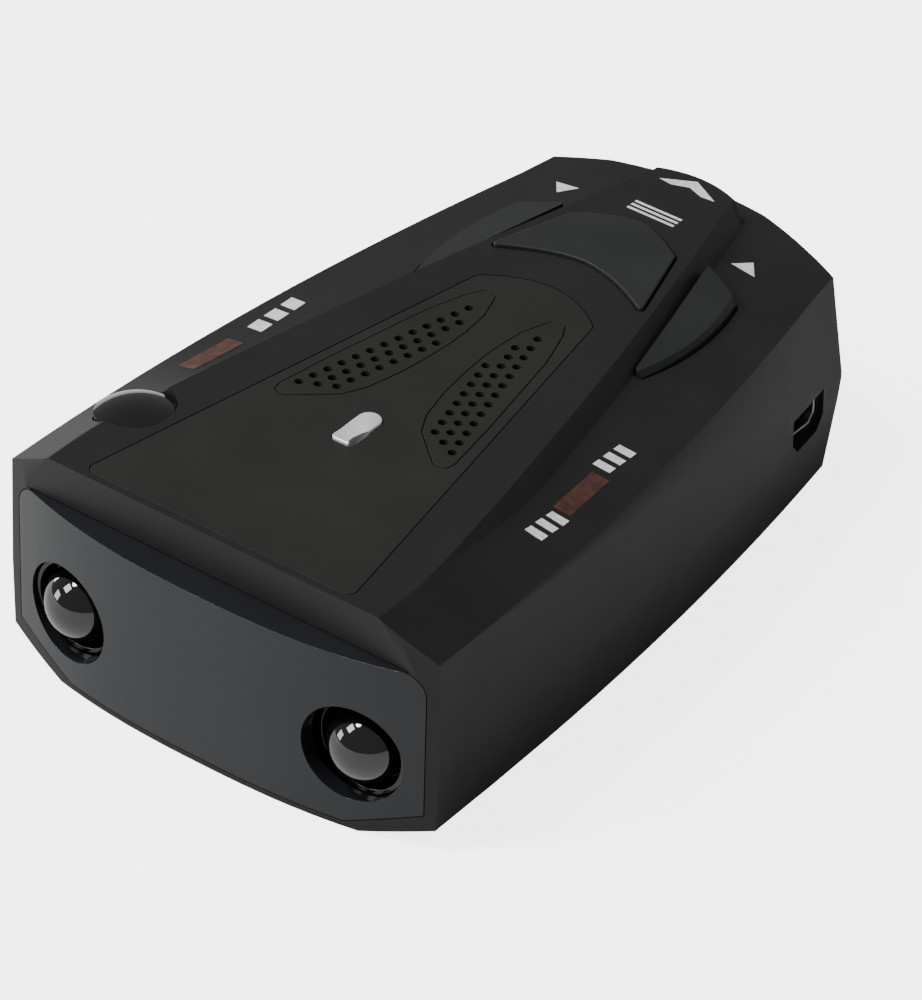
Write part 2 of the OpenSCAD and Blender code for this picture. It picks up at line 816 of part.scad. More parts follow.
module horn_antenna() {
    skin = 1.2;
    throat_w = 9;
    throat_h = 4.5;
    block_w = horn_w - 7;
    block_h = 13;
    color("#8c8f92") difference() {
        union() {
            hull() {
                horn_slab(horn_front_y, horn_w + 2 * skin, horn_h + 2 * skin, 0.5);
                horn_slab(horn_throat_y - 0.5, throat_w + 6, throat_h + 6, 0.5);
            }
            horn_slab(horn_throat_y - 1, block_w, block_h, horn_block_l + 1);
            translate([-horn_ear_x - 2, horn_ear_y - 2, horn_ear_z])
                cube([2 * horn_ear_x + 4, 4, horn_ear_t]);
        }
        hull() {
            horn_slab(horn_front_y - 0.1, horn_w, horn_h, 0.2);
            horn_slab(horn_throat_y, throat_w, throat_h, 0.1);
        }
        horn_slab(horn_throat_y - 0.5, throat_w, throat_h, horn_block_l - 2);
        both() translate([horn_ear_x, horn_ear_y, 0]) cylinder(r = small_screw_r + 0.1, h = 20);
    }
}

// A tin can over the radio chips, open underneath.
module rf_shield() {
    l = 18;
    w = 18;
    h = 4.5;
    tin = 0.4;
    color("#b5b8ba") translate([-w / 2, bay_back_y + 1.2, board_top]) difference() {
        cube([w, l, h]);
        translate([tin, tin, -1]) cube([w - 2 * tin, l - 2 * tin, h + 1 - tin]);
    }
}

module processor_chip() {
    size = 9;
    color("#111214") translate([-size / 2, bay_back_y + 20.2, board_top]) cube([size, size, 1.4]);
}

module voice_chip() {
    color("#111214") translate([-board_post_back[0], board_back_y - 8.4, board_top])
        cube([5.2, 6, 1.5]);
}

module capacitors() {
    color("#a9adb3") for (i = [0, 1]) translate([-horn_bay - 3.4, bay_back_y + 3 + 7.4 * i, board_top])
        cylinder(r = 3.15, h = 6.4);
}

module inductor() {
    color("#2a2a2d") translate([horn_bay + 1, bay_back_y + 8, board_top]) cube([6, 6, 3]);
}

module crystal() {
    color("#c3c6c8") translate([8, board_back_y - 13, board_top]) cube([4.4, 10, 3.4]);
}

module board_connector() {
    pins = 6;
    pitch = 2;
    color("#141516") translate([-pins * pitch / 2, key_post_y + 3.4, board_top])
        cube([pins * pitch, 2.2, key_board_z - board_top]);
}

module power_socket_shell() {
    sheet = 0.35;
    color("#c3c6c8") difference() {
        along_socket(socket_mouth_x - socket_l, socket_l) socket_profile(0);
        along_socket(socket_mouth_x - socket_l + 0.8, socket_l) socket_profile(-sheet);
    }
}

module power_socket_tongue() {
    color("#0d0e0f") translate([socket_mouth_x - socket_l + 0.8, socket_y - 2, socket_z])
        cube([socket_l - 2, 4, 0.9]);
}

// ---------- Buttons ----------

module menu_button() {
    foot = plunger_top;
    color("#2f3032") {
        through_roof(menu_flange_top - eps, deck_z + key_proud) menu_outline(0);
        through_roof(menu_flange_top - menu_flange_t, menu_flange_top) menu_outline(key_flange);
        translate([0, menu_switch_y, foot])
            cylinder(r = 2, h = menu_flange_top - menu_flange_t - foot + eps);
    }
}

module side_button(side) {
    foot = plunger_top;
    top_x = step_foot(side_switch_y);
    top_z = side_top(side_switch_y) + side_key_proud;
    color("#2f3032") mirror([side < 0 ? 1 : 0, 0, 0]) {
        intersection() {
            through_roof(side_flange_top - eps, deck_z) side_key_outline(0);
            hull() {
                through_roof(side_flange_top - 1, side_key_low) side_key_outline(0.3);
                translate([-side_key_bevel, 0]) through_roof(top_z, top_z + 0.5)
                    side_key_outline(0.3);
            }
            translate([top_x, 0, top_z]) rotate([0, side_key_tilt, 0])
                translate([-big / 2, -big / 2, -20]) cube([big, big, 20]);
        }
        through_roof(side_flange_top - side_flange_t, side_flange_top)
            side_key_outline(key_flange);
        translate([side_switch_x, side_switch_y, foot])
            cylinder(r = 1.8, h = side_flange_top - side_flange_t - foot + eps);
    }
}

module up_button() {
    side_button(1);
}

module down_button() {
    side_button(-1);
}

module at_menu_switch() {
    translate([0, menu_switch_y, 0]) children();
}

module at_side_switch(side) {
    translate([side * side_switch_x, side_switch_y, 0]) children();
}

module switch_body() {
    color("#1a1b1d") difference() {
        translate([-switch_size / 2, -switch_size / 2, key_board_top])
            cube([switch_size, switch_size, switch_h]);
        translate([0, 0, key_board_top + 1.2]) cylinder(r = plunger_r + 0.1, h = switch_h);
    }
}

module switch_plunger() {
    reach = switch_h - 1.2 - key_travel - 0.15;
    color("#c8bfa8") translate([0, 0, key_board_top + switch_h - reach])
        cylinder(r = plunger_r, h = reach + plunger_rise);
}

module menu_switch() {
    at_menu_switch() switch_body();
}

module up_switch() {
    at_side_switch(1) switch_body();
}

module down_switch() {
    at_side_switch(-1) switch_body();
}

module menu_plunger() {
    at_menu_switch() switch_plunger();
}

module up_plunger() {
    at_side_switch(1) switch_plunger();
}

module down_plunger() {
    at_side_switch(-1) switch_plunger();
}

// ---------- Speaker ----------

module speaker_gasket() {
    color("#3a3a38") translate([0, speaker_y, 0])
        tube_z(speaker_r, speaker_r - 1.2, speaker_top_z, ceiling_z);
}

module speaker_frame() {
    skin = 0.8;
    in_r = speaker_r - 1.2;
    color("#6d7074") translate([0, speaker_y, 0]) difference() {
        rotate_extrude() polygon([[coil_r + 0.9, speaker_floor_z],
            [in_r + 0.6, speaker_floor_z], [in_r + 0.6, speaker_top_z - skin],
            [speaker_r, speaker_top_z - skin], [speaker_r, speaker_top_z], [in_r, speaker_top_z],
            [in_r, speaker_floor_z + skin], [coil_r + 0.9, speaker_floor_z + skin]]);
        for (i = [0:5]) rotate(60 * i + 30) translate([(in_r + magnet_r) / 2, 0, speaker_floor_z - 1])
            cylinder(r = 1.6, h = 3);
    }
}

module speaker_magnet() {
    z = speaker_floor_z - magnet_h;
    color("#54565a") translate([0, speaker_y, 0]) rotate_extrude() polygon([[0, z], [magnet_r, z],
        [magnet_r, speaker_floor_z], [coil_r + 0.5, speaker_floor_z], [coil_r + 0.5, z + 1],
        [coil_r - 0.8, z + 1], [coil_r - 0.8, speaker_floor_z + 0.4], [0, speaker_floor_z + 0.4]]);
}

module speaker_surround() {
    z = speaker_top_z - 1.5;
    color("#232425") translate([0, speaker_y, 0])
        tube_z(speaker_r - 1.2, speaker_r - 1.7, z, z + 0.3);
}

module speaker_diaphragm() {
    z = speaker_top_z - 1.5;
    r = speaker_r - 1.8;
    coil_z = speaker_floor_z - magnet_h + 1 + cone_travel + 0.3;
    color("#454648") translate([0, speaker_y, 0]) {
        rotate_extrude() polygon([[0, z + 0.8], [2.6, z + 0.6], [coil_r, z], [r, z + 0.2],
            [r, z + 0.5], [coil_r, z + 0.3], [2.6, z + 0.9], [0, z + 1.1]]);
        tube_z(coil_r, coil_r - 0.4, coil_z, z + 0.1);
    }
}

module speaker_leads() {
    lead_x = 10.4;
    color("#a33226") for (i = [0, 1]) translate([lead_x, bay_back_y + 0.9 + 1.6 * i, board_top])
        cylinder(r = 0.4, h = speaker_floor_z - board_top);
}

// ---------- Fasteners ----------

module case_screws() {
    color("#5a5c60") both() for (p = [front_post, back_post])
        translate([p[0], p[1], counterbore_z + case_screw_l]) mirror([0, 0, 1])
            screw(screw_r, 2 * screw_r, 1.4, case_screw_l);
}

module board_screws() {
    l = 5.5;
    color("#9a9da1") both() for (p = [board_post_front, board_post_back])
        translate([p[0], p[1], board_top - l]) screw(small_screw_r, 1.7, 1.1, l);
}

module horn_screws() {
    l = 6;
    color("#9a9da1") both() translate([horn_ear_x, horn_ear_y, horn_ear_z + horn_ear_t - l])
        screw(small_screw_r, 1.7, 1.1, l);
}

module key_board_screws() {
    l = 4.6;
    color("#9a9da1") {
        both() translate([key_post_x, key_post_y, key_board_z + l]) mirror([0, 0, 1])
            screw(small_screw_r, 1.7, 1.1, l);
        translate([0, key_post_front_y, key_board_z + l]) mirror([0, 0, 1])
            screw(small_screw_r, 1.7, 1.1, l);
    }
}

top_shell();
bottom_shell();
front_visor();
rear_window();
speaker_panel();
grille_left();
grille_right();
light_window();
menu_button();
up_button();
down_button();
lens_cup_left();
lens_cup_right();
beam_lens_left();
beam_lens_right();
beam_diode_left();
beam_diode_right();
roof_sensor_lens();
roof_sensor_holder();
roof_sensor_diode();
main_board();
key_board();
display_board();
display_module();
display_light_shield();
horn_antenna();
rf_shield();
processor_chip();
voice_chip();
capacitors();
inductor();
crystal();
board_connector();
light_sensor();
menu_switch();
up_switch();
down_switch();
menu_plunger();
up_plunger();
down_plunger();
speaker_gasket();
speaker_frame();
speaker_magnet();
speaker_surround();
speaker_diaphragm();
speaker_leads();
power_socket_shell();
power_socket_tongue();
case_screws();
board_screws();
horn_screws();
key_board_screws();
base_pad();
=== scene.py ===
# %% [markdown]
# # A dashboard radar detector
# The finished object is a palm-sized charcoal case with a bowed gloss visor in front, two recessed beam
# lenses, a tapered roof with a speaker panel, three buttons and a smoked display window at the back.
# The CAD model already holds every size and every moving part, so this lesson only makes it look real:
# it softens the moulded edges, gives each material its own surface, and adds the printed marks.

# %% Load the frame
import json
import math

import bpy
from mathutils import Matrix, Vector


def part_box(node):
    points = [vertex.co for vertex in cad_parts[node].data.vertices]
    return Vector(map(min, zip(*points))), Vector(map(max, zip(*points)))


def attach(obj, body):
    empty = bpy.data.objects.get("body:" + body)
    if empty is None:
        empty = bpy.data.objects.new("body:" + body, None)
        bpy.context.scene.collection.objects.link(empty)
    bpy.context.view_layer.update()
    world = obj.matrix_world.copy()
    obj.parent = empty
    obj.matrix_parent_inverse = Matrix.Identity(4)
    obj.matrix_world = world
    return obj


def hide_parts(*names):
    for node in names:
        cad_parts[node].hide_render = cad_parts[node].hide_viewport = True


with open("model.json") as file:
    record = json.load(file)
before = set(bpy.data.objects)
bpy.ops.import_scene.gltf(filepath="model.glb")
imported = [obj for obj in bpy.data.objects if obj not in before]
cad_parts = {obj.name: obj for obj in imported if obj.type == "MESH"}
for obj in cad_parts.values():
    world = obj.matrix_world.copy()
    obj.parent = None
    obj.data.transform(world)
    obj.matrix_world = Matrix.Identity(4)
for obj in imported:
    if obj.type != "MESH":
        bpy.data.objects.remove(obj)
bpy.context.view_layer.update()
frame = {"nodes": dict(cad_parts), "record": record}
nodes = frame["nodes"]
MM = 0.001
BODY_OF = {name: body for body, names in frame["record"]["behaviour"]["bodies"].items() for name in names}
SLOT_OF = {row["node"]: row["material_slot"] for row in frame["record"]["subparts"]}
print("CAD nodes:", len(nodes))

# %% [markdown]
# ## Small helpers
# Operators act on whatever is selected, so each helper starts from a clean selection. Sizes are written in
# millimetres, as on a drawing, and turned to metres at the last moment.


# %% Selection helpers
def only(obj):
    if bpy.context.object and bpy.context.object.mode != "OBJECT":
        bpy.ops.object.mode_set(mode="OBJECT")
    bpy.ops.object.select_all(action="DESELECT")
    obj.select_set(True)
    bpy.context.view_layer.objects.active = obj


def apply_all(obj):
    only(obj)
    for modifier in list(obj.modifiers):
        bpy.ops.object.modifier_apply(modifier=modifier.name)


def settle(obj):
    only(obj)
    bpy.ops.object.transform_apply(location=True, rotation=True, scale=True)


# %% [markdown]
# ## Camera, floor and light
# A long lens set well back gives the calm perspective of a catalogue picture. A pale floor that runs far
# behind the object fills the frame. One distant soft lamp lights everything evenly, and three small ones
# draw the rims. A dark gloss object needs little more: its shape is drawn by what it reflects.

# %% Camera
camera_data = bpy.data.cameras.new("camera")
camera_data.sensor_width = 36
camera_data.lens = 234.96
camera_data.clip_start = 0.01
camera = bpy.data.objects.new("camera", camera_data)
bpy.context.scene.collection.objects.link(camera)
print("camera lens:", camera_data.lens)
eye = Vector((368.31, -499.31, 460.05)) * MM
azimuth, elevation, roll = math.radians(36.452), math.radians(36.020), math.radians(-1.629)
back = Vector((math.sin(azimuth) * math.cos(elevation), -math.cos(azimuth) * math.cos(elevation),
               math.sin(elevation)))
right = Vector((math.cos(azimuth), math.sin(azimuth), 0))
up = back.cross(right)
x_axis = right * math.cos(roll) - up * math.sin(roll)
y_axis = right * math.sin(roll) + up * math.cos(roll)
turn = Matrix((x_axis, y_axis, back)).transposed()
camera.matrix_world = Matrix.Translation(eye) @ turn.to_4x4()
bpy.context.scene.camera = camera

# %% Floor and background
bpy.ops.object.select_all(action="DESELECT")
bpy.ops.mesh.primitive_plane_add(size=6, location=(0, 0, -0.02 * MM))
floor = bpy.context.object
floor.name = "studio_floor"
world = bpy.data.worlds.new("studio")
bpy.context.scene.world = world
world.use_nodes = True
sky = world.node_tree.nodes["Background"]
sky.inputs["Color"].default_value = (1.0, 1.0, 1.0, 1)
sky.inputs["Strength"].default_value = 0.30


# %% Lamps
def place_lamp(name, kind, place, aim, power, size=0):
    data = bpy.data.lights.new(name, kind)
    data.energy = power
    lamp = bpy.data.objects.new(name, data)
    bpy.context.scene.collection.objects.link(lamp)
    lamp.location = place
    lamp.rotation_euler = (Vector(aim) - Vector(place)).to_track_quat("-Z", "Y").to_euler()
    if kind == "AREA":
        data.size = size
    return data


key = place_lamp("key_lamp", "SUN", (-0.25, -0.30, 0.80), (0, 0, 0), 2.6)
key.angle = math.radians(14)
place_lamp("left_lamp", "AREA", (-0.60, -0.50, 0.16), (0, -0.05, 0.01), 1.6, 0.22)
place_lamp("rim_lamp", "AREA", (-0.42, -0.50, 0.58), (0, -0.045, 0.025), 3.5, 0.26)
place_lamp("side_lamp", "AREA", (-0.85, 0.05, 0.16), (-0.03, -0.04, 0.015), 2.2, 0.20)

# %% [markdown]
# ## Surface effects shared by several finishes
# A moulded case is never perfectly smooth: its steel mould is spark-eroded, which leaves a fine, even
# grain, and hands leave faint changes in gloss. Each effect is a node group, so that every finish can use
# it at its own scale.


# %% Node group helpers
def new_group(name, inputs, outputs):
    group = bpy.data.node_groups.new(name, "ShaderNodeTree")
    for label, default in inputs:
        socket = group.interface.new_socket(label, in_out="INPUT", socket_type="NodeSocketFloat")
        socket.default_value = default
    for label in outputs:
        group.interface.new_socket(label, in_out="OUTPUT", socket_type="NodeSocketFloat")
    return group, group.nodes.new("NodeGroupInput"), group.nodes.new("NodeGroupOutput")


def add_node(tree, kind, **values):
    node = tree.nodes.new(kind)
    for key, value in values.items():
        if hasattr(node, key):
            setattr(node, key, value)
        else:
            node.inputs[key.replace("_", " ")].default_value = value
    return node


def per_millimetre(group, size_socket):
    scale = add_node(group, "ShaderNodeMath", operation="DIVIDE")
    scale.inputs[0].default_value = 1 / MM
    group.links.new(size_socket, scale.inputs[1])
    return scale.outputs[0]


# %% Mould grain
grain_group, g_in, g_out = new_group("mould_grain", [("Grain Size", 0.25)], ["Height"])
coords = add_node(grain_group, "ShaderNodeTexCoord")
scale = per_millimetre(grain_group, g_in.outputs["Grain Size"])
fine = add_node(grain_group, "ShaderNodeTexNoise", Detail=2.0, Roughness=0.55)
cells = add_node(grain_group, "ShaderNodeTexVoronoi")
for texture in (fine, cells):
    grain_group.links.new(coords.outputs["Object"], texture.inputs["Vector"])
    grain_group.links.new(scale, texture.inputs["Scale"])
blend = add_node(grain_group, "ShaderNodeMath", operation="ADD")
grain_group.links.new(fine.outputs["Fac"], blend.inputs[0])
grain_group.links.new(cells.outputs["Distance"], blend.inputs[1])
grain_group.links.new(blend.outputs[0], g_out.inputs["Height"])

# %% Handling marks
marks_group, m_in, m_out = new_group("handling_marks", [("Patch Size", 12), ("Low", 0.3), ("High", 0.4)],
                                     ["Roughness"])
coords = add_node(marks_group, "ShaderNodeTexCoord")
scale = per_millimetre(marks_group, m_in.outputs["Patch Size"])
patches = add_node(marks_group, "ShaderNodeTexNoise", Detail=4.0, Roughness=0.6)
marks_group.links.new(coords.outputs["Object"], patches.inputs["Vector"])
marks_group.links.new(scale, patches.inputs["Scale"])
spread = add_node(marks_group, "ShaderNodeMapRange")
marks_group.links.new(patches.outputs["Fac"], spread.inputs["Value"])
marks_group.links.new(m_in.outputs["Low"], spread.inputs["To Min"])
marks_group.links.new(m_in.outputs["High"], spread.inputs["To Max"])
marks_group.links.new(spread.outputs["Result"], m_out.inputs["Roughness"])

# %% [markdown]
# ## Finishes
# Each finish is one Principled shader. A plain number sits on the shader's own socket, and only what
# changes over the surface comes from a group or a texture.


# %% One finish
CLOUD_LOW, CLOUD_HIGH, GRAIN_STRENGTH = 0.35, 0.65, 0.5


def finish(name, colour, rough, patch, grain=None, depth=0.02, metal=0, specular=0.5, variation=0.06,
           cloud_size=11):
    material = bpy.data.materials.new(name)
    material.use_nodes = True
    tree = material.node_tree
    shader = tree.nodes["Principled BSDF"]
    shader.inputs["Metallic"].default_value = metal
    shader.inputs["Specular IOR Level"].default_value = specular
    marks = add_node(tree, "ShaderNodeGroup")
    marks.node_tree = marks_group
    marks.inputs["Patch Size"].default_value = patch
    marks.inputs["Low"].default_value, marks.inputs["High"].default_value = rough
    tree.links.new(marks.outputs["Roughness"], shader.inputs["Roughness"])
    coords = add_node(tree, "ShaderNodeTexCoord")
    cloud = add_node(tree, "ShaderNodeTexNoise", Scale=1 / (cloud_size * MM), Detail=3.0)
    tree.links.new(coords.outputs["Object"], cloud.inputs["Vector"])
    ramp = add_node(tree, "ShaderNodeValToRGB")
    darker = [channel * (1 - variation) for channel in colour]
    lighter = [min(1, channel * (1 + variation)) for channel in colour]
    dark_end, light_end = ramp.color_ramp.elements
    dark_end.position, light_end.position = CLOUD_LOW, CLOUD_HIGH
    dark_end.color, light_end.color = (*darker, 1), (*lighter, 1)
    tree.links.new(cloud.outputs["Fac"], ramp.inputs["Fac"])
    tree.links.new(ramp.outputs["Color"], shader.inputs["Base Color"])
    if grain:
        skin = add_node(tree, "ShaderNodeGroup")
        skin.node_tree = grain_group
        skin.inputs["Grain Size"].default_value = grain
        bump = add_node(tree, "ShaderNodeBump", Strength=GRAIN_STRENGTH, Distance=depth * MM)
        tree.links.new(skin.outputs["Height"], bump.inputs["Height"])
        tree.links.new(bump.outputs["Normal"], shader.inputs["Normal"])
    return material


# %% The finishes of this object
FINISH = {
    "case_plastic": finish("case_plastic", (0.0170, 0.0160, 0.0162), (0.42, 0.48), 18, 0.2, 0.012,
                           specular=0.12),
    "visor_gloss": finish("visor_gloss", (0.0095, 0.0108, 0.0125), (0.07, 0.11), 30, specular=0.30),
    "window_smoke": finish("window_smoke", (0.008, 0.003, 0.0035), (0.05, 0.08), 30, specular=0.4),
    "panel_plastic": finish("panel_plastic", (0.0200, 0.0196, 0.0186), (0.40, 0.46), 16, 0.2, 0.012,
                            specular=0.12),
    "silver_trim": finish("silver_trim", (0.80, 0.81, 0.82), (0.26, 0.34), 3, 0.12, 0.001, metal=0.45),
    "key_plastic": finish("key_plastic", (0.0215, 0.0230, 0.0235), (0.38, 0.45), 12, 0.18, 0.010,
                          specular=0.14),
    "cup_black": finish("cup_black", (0.003, 0.003, 0.0034), (0.12, 0.2), 6, specular=0.4),
    "lens_gloss": finish("lens_gloss", (0.0028, 0.003, 0.0035), (0.02, 0.035), 8, specular=0.75),
    "component_black": finish("component_black", (0.010, 0.010, 0.011), (0.45, 0.6), 4, 0.15, 0.01),
    "board_green": finish("board_green", (0.012, 0.09, 0.035), (0.25, 0.35), 5, 0.6, 0.01,
                          variation=0.25, cloud_size=2),
    "horn_metal": finish("horn_metal", (0.34, 0.35, 0.37), (0.35, 0.5), 4, 0.3, 0.03, metal=1),
    "tin": finish("tin", (0.42, 0.43, 0.44), (0.25, 0.36), 3, 0.4, 0.004, metal=1, cloud_size=3),
    "can_aluminium": finish("can_aluminium", (0.6, 0.61, 0.63), (0.25, 0.35), 3, 0.3, 0.004, metal=1),
    "plunger_plastic": finish("plunger_plastic", (0.55, 0.5, 0.38), (0.4, 0.5), 3, 0.2, 0.005),
    "foam": finish("foam", (0.035, 0.035, 0.033), (0.85, 0.95), 2, 0.35, 0.12, cloud_size=1.5),
    "speaker_steel": finish("speaker_steel", (0.28, 0.29, 0.3), (0.3, 0.42), 5, 0.25, 0.006, metal=1),
    "rubber_black": finish("rubber_black", (0.012, 0.012, 0.012), (0.7, 0.85), 5, 0.5, 0.04),
    "cone_black": finish("cone_black", (0.03, 0.03, 0.033), (0.4, 0.55), 4, 0.3, 0.01),
    "lead_red": finish("lead_red", (0.35, 0.025, 0.015), (0.35, 0.45), 2, 0.2, 0.004),
    "screw_black": finish("screw_black", (0.05, 0.05, 0.055), (0.35, 0.5), 2, 0.15, 0.006, metal=0.9),
    "screw_steel": finish("screw_steel", (0.5, 0.51, 0.53), (0.25, 0.35), 2, 0.15, 0.006, metal=1),
}
print_white = finish("print_white", (0.66, 0.67, 0.67), (0.45, 0.55), 2, 0.1, 0.004, variation=0.12,
                     cloud_size=0.6)
print_rust = finish("print_rust", (0.055, 0.017, 0.011), (0.45, 0.55), 2, 0.1, 0.004, variation=0.35,
                    cloud_size=1.2)
floor_white = finish("floor_white", (0.9, 0.9, 0.89), (0.6, 0.7), 400, specular=0.15, variation=0.005,
                     cloud_size=300)
floor.data.materials.append(floor_white)

# %% [markdown]
# A real studio lights its backdrop with lamps of its own, so that it shows nearly white while the dark
# object keeps its shade. Here the floor glows for the camera only, so it adds no light to the object.

# %% Lit backdrop
glow = floor_white.node_tree.nodes["Principled BSDF"]
ray = floor_white.node_tree.nodes.new("ShaderNodeLightPath")
floor_white.node_tree.links.new(ray.outputs["Is Camera Ray"], glow.inputs["Emission Color"])
glow.inputs["Emission Strength"].default_value = 3.6

# %% Finishes on the CAD nodes
for name, node in nodes.items():
    node.data.materials.clear()
    node.data.materials.append(FINISH[SLOT_OF[name]])
print("finishes:", len(FINISH))

# %% [markdown]
# ## Softened mouldings
# The CAD solids have knife edges. A mould can't make one, and the thin line of light along a rounded edge
# is what makes plastic look moulded. A copy of each visible solid has its loose triangles joined and its
# flat faces merged, and a bevel then rounds the sharp edges only.


# %% Stand in for a CAD node
def stand_for(piece, node):
    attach(piece, BODY_OF[node])
    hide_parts(node)
    return piece


# %% Soften one solid
SHARP, STEPS, FLAT, SMOOTH = math.radians(28), 3, math.radians(0.6), math.radians(35)
WELD, EVEN_WEIGHT = 0.004, 80


def softened(node, width):
    source = nodes[node]
    piece = bpy.data.objects.new(node + "_skin", source.data.copy())
    bpy.context.scene.collection.objects.link(piece)
    only(piece)
    bpy.ops.object.mode_set(mode="EDIT")
    bpy.ops.mesh.select_all(action="SELECT")
    bpy.ops.mesh.remove_doubles(threshold=WELD * MM)
    bpy.ops.mesh.dissolve_limited(angle_limit=FLAT)
    bpy.ops.object.mode_set(mode="OBJECT")
    bevel = piece.modifiers.new("round", "BEVEL")
    bevel.width = width * MM
    bevel.segments = STEPS
    bevel.limit_method = "ANGLE"
    bevel.angle_limit = SHARP
    bevel.use_clamp_overlap = True
    apply_all(piece)
    bpy.ops.object.shade_smooth_by_angle(angle=SMOOTH)
    even = piece.modifiers.new("even", "WEIGHTED_NORMAL")
    even.keep_sharp = True
    even.weight = EVEN_WEIGHT
    apply_all(piece)
    return stand_for(piece, node)


# %% Soften what shows
SOFT_EDGES = {"top_shell": 0.32, "bottom_shell": 0.32, "front_visor": 0.28, "speaker_panel": 0.12,
              "grille_left": 0.08, "grille_right": 0.08, "menu_button": 0.3, "up_button": 0.25,
              "down_button": 0.25, "rear_window": 0.15, "base_pad": 0.15, "lens_cup_left": 0.12,
              "lens_cup_right": 0.12, "power_socket_shell": 0.06}
skins = {name: softened(name, width) for name, width in SOFT_EDGES.items()}
for name, piece in skins.items():
    print(name, "faces", len(piece.data.polygons))

# %% [markdown]
# ## Domes
# The beam lenses and the roof sensor are polished black domes, and their mirror finish shows every flat
# facet. So each one is turned afresh: a fine sphere is cut through, its rim is drawn back to the seat,
# and the back is closed.


# %% Draw an open rim down, or outward
def extrude_rim(rise, scale=1):
    bpy.ops.mesh.extrude_edges_move(TRANSFORM_OT_translate={"value": (0, 0, rise)})
    if scale != 1:
        bpy.ops.transform.resize(value=(scale, scale, 1), center_override=(0, 0, 0))


# %% Turn a dome with its front at the origin, facing +Z
DOME_SEGMENTS, DOME_RINGS, DOME_SMOOTH = 96, 64, math.radians(30)


def dome(name, ball_r, rim_r, depth, lip_r, lip_t):
    bpy.ops.object.select_all(action="DESELECT")
    bpy.ops.mesh.primitive_uv_sphere_add(segments=DOME_SEGMENTS, ring_count=DOME_RINGS,
                                         radius=ball_r * MM, location=(0, 0, -ball_r * MM))
    piece = bpy.context.object
    piece.name = name
    settle(piece)
    cut_z = -ball_r * MM + math.sqrt(max(0, ball_r * ball_r - rim_r * rim_r)) * MM
    bpy.ops.object.mode_set(mode="EDIT")
    bpy.ops.mesh.select_all(action="SELECT")
    bpy.ops.mesh.bisect(plane_co=(0, 0, cut_z), plane_no=(0, 0, 1), clear_inner=True)
    back_z = -(depth - lip_t) * MM
    extrude_rim(back_z - cut_z)
    extrude_rim(0, lip_r / rim_r)
    extrude_rim(-lip_t * MM)
    bpy.ops.mesh.edge_face_add()
    bpy.ops.mesh.select_all(action="SELECT")
    bpy.ops.mesh.normals_make_consistent(inside=False)
    bpy.ops.object.mode_set(mode="OBJECT")
    bpy.ops.object.shade_smooth_by_angle(angle=DOME_SMOOTH)
    return piece


# %% Beam lenses
LIP, LIP_T = 0.9, 0.8
for side in ("left", "right"):
    node = "beam_lens_" + side
    low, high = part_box(node)
    radius = (high.x - low.x) / 2 / MM - LIP
    lens = dome("lens_" + side, radius, radius, (high.y - low.y) / MM, radius + LIP, LIP_T)
    lens.data.materials.append(FINISH["lens_gloss"])
    lens.rotation_euler = (math.radians(90), 0, 0)
    lens.location = ((low.x + high.x) / 2, low.y, (low.z + high.z) / 2)
    settle(lens)
    stand_for(lens, node)
    print(lens.name, "radius", round(radius, 2))

# %% [markdown]
# The roof sensor looks up and outward, so its axis is tilted. The axis is known from the drawing, and the
# seat is found from the CAD node itself: the points furthest back along the axis are its flange.

# %% Roof sensor
TILT, PITCH, SENSOR_R, SENSOR_RISE, SENSOR_DEPTH, SENSOR_LIP = 8, 4, 4.8, 1.4, 3.1, 0.7
lean = Matrix.Rotation(math.radians(-TILT), 4, "Y") @ Matrix.Rotation(math.radians(-PITCH), 4, "X")
axis = (lean @ Vector((0, 0, 1, 0))).to_3d()
points = [vertex.co for vertex in nodes["roof_sensor_lens"].data.vertices]
lowest = min(point.dot(axis) for point in points)
seat = [point for point in points if point.dot(axis) < lowest + 0.02 * MM]
centre = sum(seat, Vector()) / len(seat)
ball = (SENSOR_R ** 2 + SENSOR_RISE ** 2) / (2 * SENSOR_RISE)
sensor = dome("roof_sensor", ball, SENSOR_R, SENSOR_DEPTH + SENSOR_RISE, SENSOR_R + SENSOR_LIP, SENSOR_LIP)
sensor.data.materials.append(FINISH["lens_gloss"])
sensor.matrix_world = Matrix.Translation(centre + axis * (SENSOR_DEPTH + SENSOR_RISE) * MM) @ lean
settle(sensor)
stand_for(sensor, "roof_sensor_lens")
print("sensor centre", [round(value / MM, 2) for value in centre])

# %% [markdown]
# ## Light window
# The silver light window has a dished top, and a bite out of its front right corner. Both are cut with
# balls, the way a ball-nosed cutter would cut the mould.


# %% Cut with a ball
def cut_ball(piece, radius, place):
    bpy.ops.object.select_all(action="DESELECT")
    bpy.ops.mesh.primitive_uv_sphere_add(segments=64, ring_count=48, radius=radius * MM, location=place)
    cutter = bpy.context.object
    cut = piece.modifiers.new("cut", "BOOLEAN")
    cut.operation = "DIFFERENCE"
    cut.object = cutter
    apply_all(piece)
    bpy.data.objects.remove(cutter)


# %% Light window
DISH_R, DISH_DEPTH, BITE_R = 7.0, 0.3, 2.6
low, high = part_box("light_window")
light = softened("light_window", 0.22)
cut_ball(light, DISH_R, (low.x + 1.1 * MM, low.y + 2.2 * MM, high.z + (DISH_R - DISH_DEPTH) * MM))
cut_ball(light, BITE_R, (high.x + 1.75 * MM, low.y + 1.5 * MM, high.z))
only(light)
bpy.ops.object.shade_smooth_by_angle(angle=SMOOTH)
print("light window faces:", len(light.data.polygons))

# %% [markdown]
# ## Printed marks
# The marks are pad-printed: flat ink, a few hundredths of a millimetre thick, that follows the roof. Each
# one starts as a flat outline, is dropped straight down onto the surface, and is given the ink's
# thickness. All of them are plain signs: arrows, bars and blocks.

# %% Print an outline on the roof
INK, INK_GAP, ABOVE = 0.03, 0.01, 40


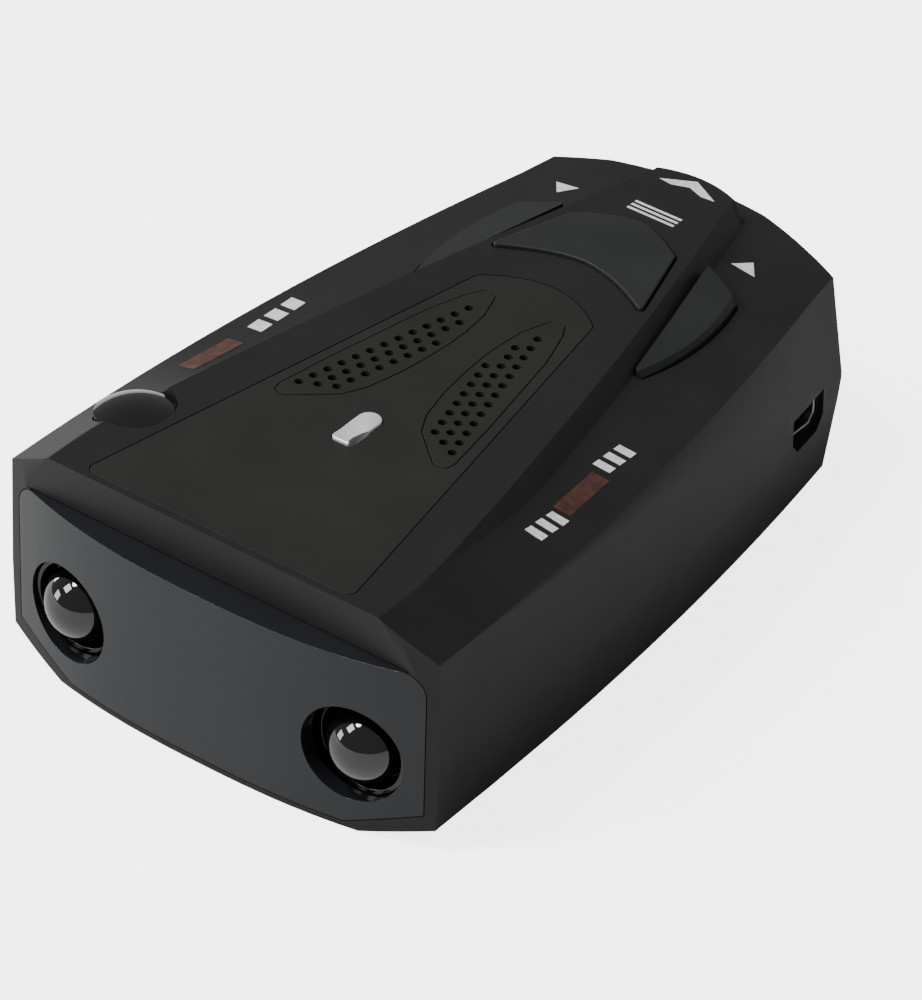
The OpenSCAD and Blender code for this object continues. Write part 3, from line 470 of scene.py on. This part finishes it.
def ink(name, outlines, material):
    outline = bpy.data.curves.new(name, "CURVE")
    outline.dimensions = "2D"
    outline.fill_mode = "BOTH"
    for corners in outlines:
        spline = outline.splines.new("POLY")
        spline.points.add(len(corners) - 1)
        for point, (x, y) in zip(spline.points, corners):
            point.co = (x * MM, y * MM, 0, 1)
        spline.use_cyclic_u = True
    piece = bpy.data.objects.new(name, outline)
    bpy.context.scene.collection.objects.link(piece)
    only(piece)
    bpy.ops.object.convert(target="MESH")
    piece = bpy.context.object
    piece.location.z = ABOVE * MM
    settle(piece)
    bpy.ops.object.mode_set(mode="EDIT")
    bpy.ops.mesh.select_all(action="SELECT")
    bpy.ops.mesh.subdivide(number_cuts=5)
    bpy.ops.object.mode_set(mode="OBJECT")
    drop = piece.modifiers.new("drop", "SHRINKWRAP")
    drop.wrap_method = "PROJECT"
    drop.use_project_z = True
    drop.use_negative_direction = True
    drop.use_positive_direction = False
    drop.offset = INK_GAP * MM
    drop.target = skins["top_shell"]
    thick = piece.modifiers.new("thick", "SOLIDIFY")
    thick.thickness = INK * MM
    thick.offset = 1
    apply_all(piece)
    piece.data.materials.clear()
    piece.data.materials.append(material)
    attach(piece, BODY_OF["top_shell"])
    return piece


def mirrored(corners):
    return [(-x, y) for x, y in reversed(corners)]


def slanted_bars(x, y0, step, wide, tall, slant):
    starts = [y0 + i * step for i in range(3)]
    return [[(x, y), (x + wide, y + slant), (x + wide, y + slant + tall), (x, y + tall)] for y in starts]


# %% Arrows and bars beside the buttons
ink("print_arrow", [[(0, 45.3), (-4.05, 43.1), (-2.2, 42.9), (0, 43.7), (2.2, 42.9), (4.05, 43.1)]],
    print_white)
ink("print_menu", [[(-3.4, y), (3.4, y), (3.4, y + 0.38), (-3.4, y + 0.38)] for y in (35.5, 36.3, 37.1)],
    print_white)
ink("print_up", [[(10.9, 37.2), (14.3, 37.2), (12.6, 39.4)]], print_white)
ink("print_down", [[(-13.1, 39.2), (-14.8, 37.0), (-16.5, 39.2)]], print_white)

# %% Marks on the sloping roof
ink("print_right_front", slanted_bars(24.1, -21.2, 2.0, 2.2, 1.2, 0.3), print_white)
ink("print_right_rear", slanted_bars(22.2, -5.8, 2.0, 2.2, 1.2, 0.3), print_white)
ink("print_right_bar", [[(23.7, -15.3), (25.9, -15.0), (25.2, -6.6), (23.0, -6.9)]], print_rust)
ink("print_left_rear", [mirrored(bar) for bar in slanted_bars(23.6, -8.9, 3.1, 2.4, 2.1, 0.4)],
    print_white)
ink("print_left_bar", [mirrored([(24.4, -20.4), (27.0, -20.2), (26.2, -11.9), (23.6, -12.1)])],
    print_rust)
